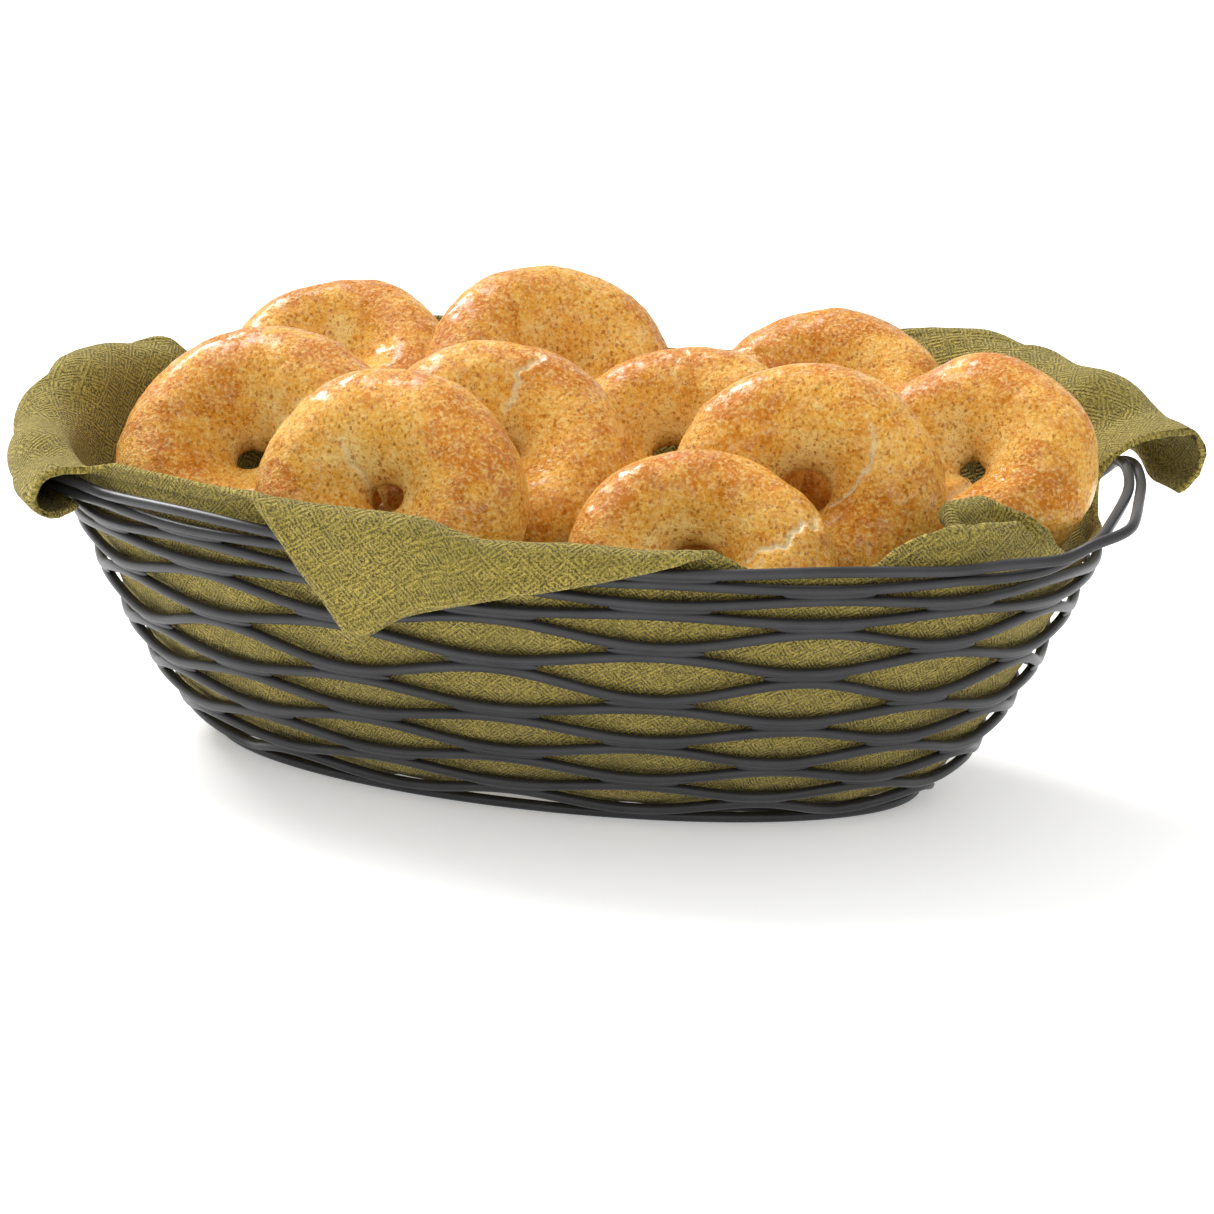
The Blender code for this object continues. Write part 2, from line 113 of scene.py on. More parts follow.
# Round the basket in degrees from its right: the path there and how many of its points are used.
EDGE = (
    (-180, "left_roll", 8.0), (-171, "left_mid", 8.0), (-160, "left_mid", 8.0), (-153, "left_front", 8.0),
    (-149, "left_front", 8.0), (-147.6, "left_front", 6.8), (-146.4, "left_front", 5.2),
    (-145.3, "left_front", 3.8), (-144.2, "left_front", 2.3), (-141, "inside", 4.5),
    (-134, "inside", 4.8), (-126, "inside", 5.0), (-121.5, "inside", 5.0), (-119.5, "front_flap", 2.8),
    (-116, "front_flap", 3.4), (-113.5, "front_flap", 4.4), (-111, "front_flap", 5.2),
    (-108.8, "front_flap", 5.8), (-106.2, "front_flap", 6.3), (-104.2, "front_flap", 6.7),
    (-102.8, "front_flap", 6.9),
    (-97, "front_flap", 6.4), (-90, "low_flap", 6.0), (-80, "low_flap", 5.2),
    (-71, "low_flap", 4.2), (-68, "low_flap", 2.8), (-66, "low_flap", 1.7), (-63, "inside", 1.0),
    (-56, "inside", 0.7), (-49.5, "inside", 1.2), (-46, "inside", 3.4), (-42, "turned_in", 3.6),
    (-37, "turned_in", 4.6), (-35, "turned_in", 8.0), (-33.5, "turned_in", 12.0), (-27, "turned_in", 12.0),
    (-24, "turned_in", 5.0), (-21.5, "inside", 3.6), (-19, "inside", 1.0), (-15, "inside", 0.3),
    (-2, "inside", 0.2), (11, "inside", 0.4), (15, "right_roll", 1.2), (16.5, "right_roll", 2.4),
    (17.5, "right_roll", 3.6), (18.3, "right_roll", 4.8), (19, "right_roll", 6.0),
    (20, "right_roll", 7.0), (26, "right_roll", 7.0), (33, "right_corner", 7.0),
    (39, "right_corner", 6.8), (46, "right_slope", 6.8), (53, "standing_tall", 6.8),
    (60, "standing_tall", 5.8),
    (70, "standing", 5.8), (80, "standing", 4.6), (92, "standing", 4.3), (105, "standing", 4.9),
    (117, "standing", 5.4), (130, "standing", 4.9), (141, "standing", 4.3),
    (149, "standing", 3.7), (154, "left_back", 4.6), (162, "left_back", 6.6), (171, "left_back", 7.0),
)
RING_RADIUS = 28.8 * MM
DOUGH_RADIUS = 17.4 * MM
# Middle in mm, turn and tilt of the top in degrees, size, shift of the hole in mm, stretch of the
# ring and the stretch's turn in degrees.
BAGELS = (
    (-47, -75, 101.5, -10, 23, 1.01, -1.1, 1.7, 0.04, -17),
    (-113, -11, 100, -5, 38, 1.06, -0.3, -2.6, 0.05, 26),
    (-107, 67.5, 115.5, 0, 58, 0.93, 0.7, -0.8, -0.03, 0),
    (-26, 64, 122, 30, 42, 0.98, -0.5, 0.0, 0.02, 0),
    (-21.5, -26.5, 110, 8, 44, 0.97, 0.8, 1.3, -0.05, 47),
    (32, 19, 108, -1, 45, 0.94, -2.8, -2.0, 0.03, 12),
    (73, 76.5, 114, 1, 49, 0.98, -0.3, -0.8, 0.01, 0),
    (83, -23.5, 107.5, 5, 22, 0.98, -1.2, 0.0, 0.03, 9),
    (58.5, -72.5, 89, 6, 32, 0.93, -1.2, 2.4, 0.08, -18),
    (133, 22, 111, -15, 40, 0.94, -0.6, -0.8, 0.0, 0),
    (-91.5, 4.5, 30.5, -22, 78, 1.0, 0.0, 0.0, 0.01, 0),
    (-3, 34, 30, 1, 77, 1.0, 0.6, -1.6, 0.01, 0),
    (86.6, 13, 29.5, 24, 81, 1.0, 0.0, 0.0, 0.0, 0),
    (-64, 36.5, 69.5, -13, 93, 1.0, -1.7, 0.0, 0.0, 0),
    (10.2, -16, 56, 37, 76, 1.0, 1.7, 0.9, 0.0, 0),
    (76, 46.4, 66, 20, 93, 1.0, -0.6, -0.4, 0.0, 0),
)

# ---------------------------------------------------------------- sizes of the finer looks
# Level below which the wall's slope is no longer worked out, as it is endless at level 0.
LOWEST_LEVEL = 0.004
# Level by which the lowest side wire stays above the foot ring.
FOOT_CLEARANCE = 0.012
# Waves that a swell adds up, the shares that their wavelengths spread over, and its usual peak.
SWELL_WAVES = 18
SWELL_SPREAD = (0.75, 1.4)
SWELL_PEAK = 1.4
WIRE_STEPS, WIRE_SIDES = 480, 12
# Degrees between a rim wire's guides along the wall, and points from one guide to the next.
RIM_GUIDE_STEP = 4
RIM_STEPS_PER_GUIDE = 8
BOTTOM_WIRE_STEPS = 130
# Share of the swing that has to fit inside the foot ring, and how late the waves fade before it.
BOTTOM_EDGE_SWING = 0.6
BOTTOM_FADE_POWER = 6
WELD_STEPS, WELD_SIDES = 13, 10
WELD_STRETCH = 1.15
# Share of its thickness that a weld keeps at its ends.
WELD_END_SIZE = 0.02
FOOT_WELD_LEVEL = 0.006
# Welds below this level lean as the wall does at this level.
LOWEST_WELD_LEAN = 0.05
WELD_HALF_LENGTH = 15 * MM
WELD_HALF_HEIGHT = 2.1 * MM
WELD_HALF_THICKNESS = 1.35 * MM
CLOTH_THICKNESS = 1.1 * MM
HEM_THICKNESS = 2.4 * MM
HEM_WIDTH = 6 * MM
CLOTH_COLUMNS = 900
FLOOR_STEPS, WALL_STEPS, EDGE_STEPS = 30, 44, 42
FLOOR_SHARES = (0.03, 0.97)
LINER_BOTTOM = 0.01
# Columns that the edge's table is repeated by past each end, so that it closes smoothly.
EDGE_WRAP = 3
# Swells of the cloth: wavelength in metres, seed and height in mm.
FREE_RIPPLE = (45 * MM, 3, 0.55)
FINE_RIPPLE = (11 * MM, 4, 0.12)
PRESSED_SWELL = (26 * MM, 5, 0.5)
# Rows below the lining's top where the free ripple starts, and rows that it takes to be full.
FREE_ROWS_BELOW, FREE_ROWS = 6, 14
BOWL_CENTRE_HEIGHT = 0.2
# Over how much of the hem's edge its thickness grows, and the share of it at the very edge.
HEM_ROUNDING = 1.2 * MM
HEM_BLUNTNESS = 0.35
# Distance to the hem that the middle of the floor is given.
FAR_FROM_HEM = 0.2
BAGEL_STEPS, BAGEL_SIDES = 220, 88
HIDDEN_BAGEL_STEPS, HIDDEN_BAGEL_SIDES = 110, 44
SHOWN_BAGELS = 10
# Shares of the dough's radius: outwards, up to the top and down to the flat base.
DOUGH_OUT, DOUGH_TOP, DOUGH_BASE = 0.98, 0.95, -0.84
BASE_SQUARENESS = 2.7
# Swells of the dough: wavelength in metres, first seed and height in mm.
DOUGH_SWELLS = ((36 * MM, 0, 0.55), (15 * MM, 50, 0.22), (6 * MM, 90, 0.09), (3.4 * MM, 130, 0.045))
# How much further the dough closes in on the hole at its narrowest, in mm.
HIDDEN_HOLE_FILL = 3.0
HOLE_FILL = {1: 6.6, 2: 7.5, 3: 9.0, 4: 8.5, 5: 6.0, 6: 5.5, 7: 7.0, 8: 3.2, 9: 2.6, 10: 7.6}
# Seams where the dough's ends overlap: bagel, place round its ring in degrees from its right,
# how much that turns per degree over the dough, middle of the seam and its reach in degrees over
# the dough (0 at the outer edge, 90 on top), depth and step in mm, paleness.
SEAMS = (
    (5, 78, 0.15, 95, 55, 1.3, 1.0, 0.8), (8, 5, -0.95, 128, 50, 1.1, 0.9, 1.0),
    (9, 16, -0.22, 85, 62, 1.3, 1.6, 1.0), (1, 140, 0.3, 150, 40, 0.8, 0.5, 0.5),
    (2, 74, 0.2, 95, 35, 0.4, 0.5, 0.0), (6, 100, 0.1, 85, 40, 0.6, 0.5, 0.25),
    (10, -78, 0.4, 150, 60, 1.3, 2.0, 0.4), (7, 150, -0.2, 90, 55, 0.4, 0.5, 0.0),
)
# Across a seam, in mm: the slope of its raised side, the round of that side's lip, the slope of the
# lower side, the groove and the pale line. The lower side dips by a share of the step.
SEAM_SLOPE, SEAM_LIP, SEAM_FOOT, SEAM_GROOVE, SEAM_PALE = 13, 1.5, 9, 1.1, 1.05
SEAM_DIP = -0.35
SEAM_FADE_POWER = 0.7

COATING_RELIEF = 0.02 * MM
DIAMOND_LENGTH, DIAMOND_HEIGHT = 13 * MM, 11 * MM
DIAMOND_RIDGES = 6
YARN_LENGTH, YARN_HEIGHT = 0.95 * MM, 0.8 * MM
STITCH_INSET, STITCH_LENGTH = 5.6 * MM, 3.2 * MM
TWILL_RELIEF = 1.1 * MM
# Bran flecks: size, share of places without one, and how dark they are.
FLECKS = ((1.5 * MM, 0.62, 0.8), (1.0 * MM, 0.5, 0.65), (0.65 * MM, 0.4, 0.45))
FLECK_BEND = 1.6 * MM
CRUST_RELIEF = 1.0 * MM

# The camera looks at a point above the middle of the foot, from the front and a little from the
# right. Its distance is in mm.
CAMERA_TURN, CAMERA_TILT, CAMERA_ROLL = math.radians(12.35), math.radians(14.08), math.radians(2.92)
CAMERA_TARGET_HEIGHT = 56.2 * MM
CAMERA_DISTANCE = 1366
LENS, SENSOR_WIDTH = 116.45, 36
LENS_SHIFT = (0.028, -0.0063)
NEAREST, FARTHEST = 0.05, 30
GROUND_REACH = 6.0
GROUND_SPECKLE = 0.4
# Where each light comes from, its spread in degrees and its strength.
LIGHTS = {
    "high_left_light": ((-0.60, 0.42, 0.85), 36, 2.1),
    "window_glint": ((-0.62, 0.475, 0.57), 18, 1.6),
    "front_light": ((0.35, -1.0, 0.6), 60, 0.4),
}
ROOM_BRIGHTNESS = 0.82


# ---------------------------------------------------------------- meshes
def grid_faces(rows, columns, wrap_rows, wrap_columns, start=0):
    """Quads of a grid of points that is stored row by row."""
    i = np.arange(rows if wrap_rows else rows - 1)[:, None]
    j = np.arange(columns if wrap_columns else columns - 1)[None, :]
    below, beside = (i + 1) % rows, (j + 1) % columns
    corners = (i * columns + j, i * columns + beside, below * columns + beside, below * columns + j)
    return np.stack(np.broadcast_arrays(*corners), -1).reshape(-1, 4) + start


def add_piece(name, points, faces, finish, replaced, values=None):
    """A smooth closed mesh in the frame that stands for CAD nodes; values are kept per point."""
    points = np.asarray(points).reshape(-1, 3)
    faces = [face if isinstance(face, list) else face.tolist() for face in faces]
    faces = [corner for face in faces for corner in (face if isinstance(face[0], list) else [face])]
    fan = np.array([face[:3] for face in faces])
    first, second, third = points[fan[:, 0]], points[fan[:, 1]], points[fan[:, 2]]
    if np.einsum("ij,ij->", first, np.cross(second, third)) < 0:
        faces = [face[::-1] for face in faces]
    mesh = bpy.data.meshes.new(name)
    mesh.from_pydata((points + MIDDLE).tolist(), [], faces)
    mesh.shade_smooth()
    for key, numbers in (values or {}).items():
        kept = mesh.attributes.new(key, "FLOAT", "POINT").data
        kept.foreach_set("value", np.ravel(numbers).astype(np.float32))
    mesh.materials.append(finish)
    piece = bpy.data.objects.new(name, mesh)
    bpy.context.scene.collection.objects.link(piece)
    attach(piece, "root")
    if replaced:
        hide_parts(*replaced)
    return piece


def unit(vectors):
    return vectors / np.linalg.norm(vectors, axis=-1, keepdims=True)


def smooth_between(knots, values, wanted):
    """Rows of values at the wanted places, smooth through the knots and never past them."""
    step = np.diff(knots)
    slope = np.diff(values, axis=0) / step[:, None]
    before, after = slope[:-1], slope[1:]
    level = before * after <= 0
    inner = np.where(level, 0, 2 * before * after / np.where(level, 1, before + after))
    tangent = np.concatenate([slope[:1], inner, slope[-1:]])
    cell = np.clip(np.searchsorted(knots, wanted, side="right") - 1, 0, len(knots) - 2)
    width = step[cell][:, None]
    t = ((wanted - knots[cell]) / step[cell])[:, None]
    return ((1 + 2 * t) * (1 - t) ** 2 * values[cell] + t * (1 - t) ** 2 * width * tangent[cell]
            + t * t * (3 - 2 * t) * values[cell + 1] - t * t * (1 - t) * width * tangent[cell + 1])


def swell(points, wavelength, seed):
    """A smooth random field over the points, mostly between -1 and 1, with about that wavelength."""
    chance = np.random.default_rng(seed)
    field = np.zeros(points.shape[:-1])
    for _ in range(SWELL_WAVES):
        direction = unit(chance.normal(size=3))
        length = wavelength * chance.uniform(*SWELL_SPREAD)
        field += np.sin(points @ direction * (math.tau / length) + chance.uniform(0, math.tau))
    return field / math.sqrt(SWELL_WAVES / 2) / SWELL_PEAK


# ---------------------------------------------------------------- the basket's wires
def outwards(angle):
    """Level directions square to the rim at angles in radians."""
    angle = np.asarray(angle, float)
    return unit(np.stack([np.cos(angle) / RIM_HALF_LENGTH, np.sin(angle) / RIM_HALF_WIDTH, 0 * angle], -1))


def wall_point(angle, level):
    """Middle of the wall's wires at angles in radians and levels from 0 at the foot to 1 at the rim."""
    angle, level = np.broadcast_arrays(np.asarray(angle, float), np.asarray(level, float))
    flare = np.maximum(level, 0) ** WALL_FLARE
    length = FOOT_HALF_LENGTH + (RIM_HALF_LENGTH - FOOT_HALF_LENGTH) * flare
    width = FOOT_HALF_WIDTH + (RIM_HALF_WIDTH - FOOT_HALF_WIDTH) * flare
    sag = LEFT_SAG * level ** 2 * np.maximum(0, -np.cos(angle)) ** 2
    height = 2 * WIRE_RADIUS + WALL_RISE * level - sag
    return np.stack([length * np.cos(angle), width * np.sin(angle), height], -1)


def wall_pitch(level):
    """Wall length per unit of level, and its outward part, in metres."""
    spread = 0.5 * (RIM_HALF_LENGTH + RIM_HALF_WIDTH - FOOT_HALF_LENGTH - FOOT_HALF_WIDTH)
    run = spread * WALL_FLARE * np.maximum(level, LOWEST_LEVEL) ** (WALL_FLARE - 1)
    return np.hypot(run, WALL_RISE), run


def wave_levels(index):
    """Highest and lowest level of a wire, counted from the top, where it meets its neighbours."""
    above, below = SEAM_LEVELS[index], SEAM_LEVELS[index + 1]
    half_pitch = WIRE_RADIUS + GAP / 2
    high = above - half_pitch / wall_pitch(above)[0]
    if index + 2 == len(SEAM_LEVELS):
        return high, below + FOOT_CLEARANCE
    return high, below + half_pitch / wall_pitch(below)[0]


def wave_point(index, angle):
    high, low = wave_levels(index)
    swing = np.cos(WAVES * np.asarray(angle)) * (1 if index % 2 else -1)
    return wall_point(angle, (high + low) / 2 + swing * (high - low) / 2)


def tube(path, closed=True):
    """Points and faces of a round wire along a path."""
    if closed:
        along = unit(np.roll(path, -1, 0) - np.roll(path, 1, 0))
    else:
        along = unit(np.gradient(path, axis=0))
    across = unit(np.cross(along, UP))
    above = np.cross(across, along)
    turn = math.tau * np.arange(WIRE_SIDES) / WIRE_SIDES
    ring = across[:, None] * np.cos(turn)[None, :, None] + above[:, None] * np.sin(turn)[None, :, None]
    points = path[:, None] + ring * WIRE_RADIUS
    faces = [grid_faces(len(path), WIRE_SIDES, closed, True)]
    if not closed:
        last = (len(path) - 1) * WIRE_SIDES
        faces += [list(range(WIRE_SIDES)), list(range(last, last + WIRE_SIDES))[::-1]]
    return points.reshape(-1, 3), faces


def handle_path(name, side):
    """Guide points of a wire round one handle, from the front rim to the back rim."""
    end, angle = (1, 0.0) if side == "right" else (-1, math.pi)
    rim_height = wall_point(angle, 1.0)[2]
    return [(end * (RIM_HALF_LENGTH + reach * MM), y * MM, rim_height + lift * MM)
            for reach, y, lift in HANDLES[name][side]]


def rim_wire_path(index, name):
    """Closed path of a rim wire, bowed out into a handle at each end and rounded between its guides."""
    first, last = RIM_ARC
    front = [tuple(wave_point(index, math.radians(degrees)))
             for degrees in range(-last, -first + 1, RIM_GUIDE_STEP)]
    back = [(x, -y, z) for x, y, z in reversed(front)]
    guide = np.array(front + handle_path(name, "right") + back + handle_path(name, "left")[::-1])
    fine = []
    count = len(guide)
    for i in range(count):
        a, b, c, d = guide[i - 1], guide[i], guide[(i + 1) % count], guide[(i + 2) % count]
        for t in np.arange(0, 1, 1 / RIM_STEPS_PER_GUIDE):
            fine.append(0.5 * (2 * b + (c - a) * t + (2 * a - 5 * b + 4 * c - d) * t * t
                               + (3 * b - a - 3 * c + d) * t ** 3))
    return np.array(fine)


def make_wires(finish):
    for index, name in enumerate(HANDLES):
        points, faces = tube(rim_wire_path(index, name))
        add_piece("smooth_" + name, points, faces, finish, [name])
    angles = math.tau * np.arange(WIRE_STEPS) / WIRE_STEPS
    for index in range(RIM_WIRES, len(SEAM_LEVELS) - 1):
        name = f"side_wire_{index - RIM_WIRES + 1:02d}"
        points, faces = tube(wave_point(index, angles))
        add_piece("smooth_" + name, points, faces, finish, [name])
    ring = np.stack([FOOT_HALF_LENGTH * np.cos(angles), FOOT_HALF_WIDTH * np.sin(angles),
                     np.full(WIRE_STEPS, WIRE_RADIUS)], -1)
    points, faces = tube(ring)
    add_piece("smooth_foot_ring", points, faces, finish, ["foot_ring"])


def make_bottom_wires(finish):
    swing = (BOTTOM_SPACING - 2 * WIRE_RADIUS - GAP) / 2
    inner_length = FOOT_HALF_LENGTH - 2 * WIRE_RADIUS - 2 * GAP
    inner_width = FOOT_HALF_WIDTH - 2 * WIRE_RADIUS - 2 * GAP
    wave_length = inner_length / 2
    for i in range(BOTTOM_WIRES):
        middle = (i - (BOTTOM_WIRES - 1) / 2) * BOTTOM_SPACING
        edge = abs(middle) + WIRE_RADIUS + swing * BOTTOM_EDGE_SWING
        end = inner_length * math.sqrt(1 - (edge / inner_width) ** 2)
        # The ends run straight on into the foot ring, where they are welded.
        aside = middle / (FOOT_HALF_WIDTH - WIRE_RADIUS)
        reach = (FOOT_HALF_LENGTH - WIRE_RADIUS / 2) * math.sqrt(1 - aside ** 2)
        x = np.linspace(-reach, reach, BOTTOM_WIRE_STEPS)
        fade = 1 - np.clip(np.abs(x / end), 0, 1) ** BOTTOM_FADE_POWER
        y = middle + swing * fade * np.cos(math.tau * x / wave_length) * (1 if i % 2 else -1)
        path = np.stack([x, y, np.full(len(x), WIRE_RADIUS + BOTTOM_LIFT)], -1)
        points, faces = tube(path, closed=False)
        add_piece(f"smooth_bottom_wire_{i + 1}", points, faces, finish, [f"bottom_wire_{i + 1}"])


def make_welds(finish):
    """Slim webs of filled-in coating, wherever two wires meet."""
    points, faces = [], []
    along_share = np.sin(np.linspace(-math.pi / 2, math.pi / 2, WELD_STEPS))
    turn = math.tau * np.arange(WELD_SIDES) / WELD_SIDES
    for seam in range(1, len(SEAM_LEVELS)):
        level = SEAM_LEVELS[seam] if seam < len(SEAM_LEVELS) - 1 else FOOT_WELD_LEVEL
        for k in range(WAVES):
            angle = math.tau * (k + (0.5 if seam % 2 == 0 else 0)) / WAVES
            aside = math.degrees(math.atan2(abs(math.sin(angle)), math.cos(angle)))
            if seam <= RIM_WIRES and not RIM_ARC[0] < aside < RIM_ARC[1]:
                continue
            spread = along_share * WELD_HALF_LENGTH / RIM_HALF_LENGTH * WELD_STRETCH
            centres = wall_point(angle + spread, level)
            pitch, run = wall_pitch(max(level, LOWEST_WELD_LEAN))
            out = outwards(angle)
            upwards = (out * run + UP * WALL_RISE) / pitch
            normal = (out * WALL_RISE - UP * run) / pitch
            size = np.sqrt(1 - along_share ** 2)[:, None, None] * (1 - WELD_END_SIZE) + WELD_END_SIZE
            ring = (upwards * (np.sin(turn) * WELD_HALF_HEIGHT)[:, None]
                    + normal * (np.cos(turn) * WELD_HALF_THICKNESS)[:, None])
            start = len(points) * WELD_STEPS * WELD_SIDES
            last = start + (WELD_STEPS - 1) * WELD_SIDES
            points.append((centres[:, None] + ring * size).reshape(-1, 3))
            faces += [grid_faces(WELD_STEPS, WELD_SIDES, False, True, start),
                      list(range(start, start + WELD_SIDES)),
                      list(range(last, last + WELD_SIDES))[::-1]]
    add_piece("welds", np.concatenate(points), faces, finish, [])


# ---------------------------------------------------------------- the napkin
def liner_point(angle, level):
    """Middle of the cloth where it lies against the inside of the wall."""
    pitch, run = wall_pitch(level)
    out = outwards(angle)
    inset = (-out * WALL_RISE + UP * np.reshape(run, (-1, 1))) / np.reshape(pitch, (-1, 1)) * LINER_INSET
    point = wall_point(angle, level) + inset
    point[..., 2] = np.maximum(point[..., 2], LINER_FLOOR)
    return point


def edge_guides(angles):
    """How the cloth leaves the wall at each angle: distances outwards and upwards from the rim's line."""
    shares = np.linspace(0, 1, EDGE_STEPS + 1)
    rows, knots = [], []
    for degrees, name, count in EDGE:
        angle = np.array([math.radians(degrees)])
        start = (liner_point(angle, LINER_TOP) - wall_point(angle, 1.0))[0]
        path = [(start @ outwards(angle)[0], start[2])]
        path = np.array(path + [(out * MM, up * MM) for out, up in EDGE_PATHS[name]])
        rows.append(smooth_between(np.arange(len(path)), path, shares * count).ravel())
        knots.append(math.radians(degrees))
    rows = np.array(rows[-EDGE_WRAP:] + rows + rows[:EDGE_WRAP])
    before = [knot - math.tau for knot in knots[-EDGE_WRAP:]]
    after = [knot + math.tau for knot in knots[:EDGE_WRAP]]
    knots = np.array(before + knots + after)
    return smooth_between(knots, rows, angles).reshape(len(angles), EDGE_STEPS + 1, 2)


def napkin_grid():
    """Points of the middle of the cloth: columns round the basket, each from the floor to the hem."""
    angles = -math.pi + math.tau * np.arange(CLOTH_COLUMNS) / CLOTH_COLUMNS
    oval = np.stack([FOOT_HALF_LENGTH * np.cos(angles), FOOT_HALF_WIDTH * np.sin(angles), 0 * angles], -1)
    parts = [oval * share + UP * LINER_FLOOR for share in np.linspace(*FLOOR_SHARES, FLOOR_STEPS)]
    parts += [liner_point(angles, level) for level in np.linspace(LINER_BOTTOM, LINER_TOP, WALL_STEPS)]
    rim, out = wall_point(angles, 1.0), outwards(angles)
    guides = edge_guides(angles)
    parts += [rim + out * guides[:, k, :1] + UP * guides[:, k, 1:] for k in range(1, EDGE_STEPS + 1)]
    return angles, np.stack(parts, 1)


def sheet_normals(grid):
    along = np.gradient(grid, axis=1)
    across = np.roll(grid, -1, 0) - np.roll(grid, 1, 0)
    return unit(np.cross(across, along))


def creased(grid):
    """The cloth's grid with swells: free ones towards the hem, and inwards only against the wires."""
    row = np.arange(grid.shape[1])
    free = np.clip((row - FLOOR_STEPS - WALL_STEPS + FREE_ROWS_BELOW) / FREE_ROWS, 0, 1)[None]
    normals = sheet_normals(grid)
    (free_length, free_seed, free_height), (fine_length, fine_seed, fine_height) = FREE_RIPPLE, FINE_RIPPLE
    ripple = (swell(grid, free_length, free_seed) * free_height * MM * free
              + swell(grid, fine_length, fine_seed) * fine_height * MM)
    pressed_length, pressed_seed, pressed_height = PRESSED_SWELL
    pressed = (swell(grid, pressed_length, pressed_seed) - 1) * pressed_height * MM * (1 - free)
    inwards = np.sign(np.einsum("ijk,ijk->ij", normals, -grid + UP * BOWL_CENTRE_HEIGHT))
    return grid + normals * (ripple - pressed * inwards * (row >= FLOOR_STEPS))[..., None]


def make_napkin(finish):
    """One sheet of cloth with creases, thicker at its hem."""
    angles, grid = napkin_grid()
    steps = np.linalg.norm(np.diff(grid, axis=1), axis=2)
    travelled = np.concatenate([np.zeros((len(grid), 1)), np.cumsum(steps, 1)], 1)
    to_hem = travelled[:, -1:] - travelled
    grid = creased(grid)
    hem = np.clip((HEM_WIDTH - to_hem) / MM, 0, 1)
    half = (CLOTH_THICKNESS + (HEM_THICKNESS - CLOTH_THICKNESS) * hem) / 2
    half = half * np.clip(to_hem / HEM_ROUNDING + HEM_BLUNTNESS, 0, 1)
    normals = sheet_normals(grid)
    columns, length = grid.shape[:2]
    layers, faces, values = [], [], {"weave_u": [], "weave_v": [], "to_hem": []}
    rim = wall_point(angles, 1.0)
    round_rim = np.concatenate([[0], np.cumsum(np.linalg.norm(np.diff(rim, axis=0), axis=1))])
    # Counted from the left end both ways, so that the weave has no seam there.
    round_rim = np.minimum(round_rim, round_rim[-1] - round_rim)
    for side in (1, -1):
        start = len(layers) * (columns * length + 1)
        layer = grid + normals * (half * side)[..., None]
        height = LINER_FLOOR + side * CLOTH_THICKNESS / 2 * np.sign(normals[0, 0, 2])
        centre = np.array([[0, 0, height]])
        layers.append(np.concatenate([layer.reshape(-1, 3), centre]))
        faces.append(grid_faces(columns, length, True, False, start))
        hub = start + columns * length
        faces += [[hub, start + i * length, start + (i + 1) % columns * length] for i in range(columns)]
        values["weave_u"] += [np.broadcast_to(round_rim[:, None], (columns, length)).ravel(), [0.0]]
        values["weave_v"] += [travelled.ravel(), [0.0]]
        values["to_hem"] += [to_hem.ravel(), [FAR_FROM_HEM]]
    # The second layer looks the other way, and a strip of quads joins the two at the hem.
    faces[columns + 1] = faces[columns + 1][:, ::-1]
    faces[columns + 2:] = [face[::-1] for face in faces[columns + 2:]]
    second = columns * length + 1
    last = np.arange(columns) * length + length - 1
    following = np.roll(last, -1)
    faces.append(np.stack([last, last + second, following + second, following], -1))
    napkin = add_piece("twill_napkin", np.concatenate(layers), faces, finish, ["napkin"],
                       {key: np.concatenate(parts) for key, parts in values.items()})


# ---------------------------------------------------------------- the bagels
def half_turned(angle):
    """Angles in radians brought to between half a turn back and half a turn on."""
    return (angle + math.pi) % math.tau - math.pi


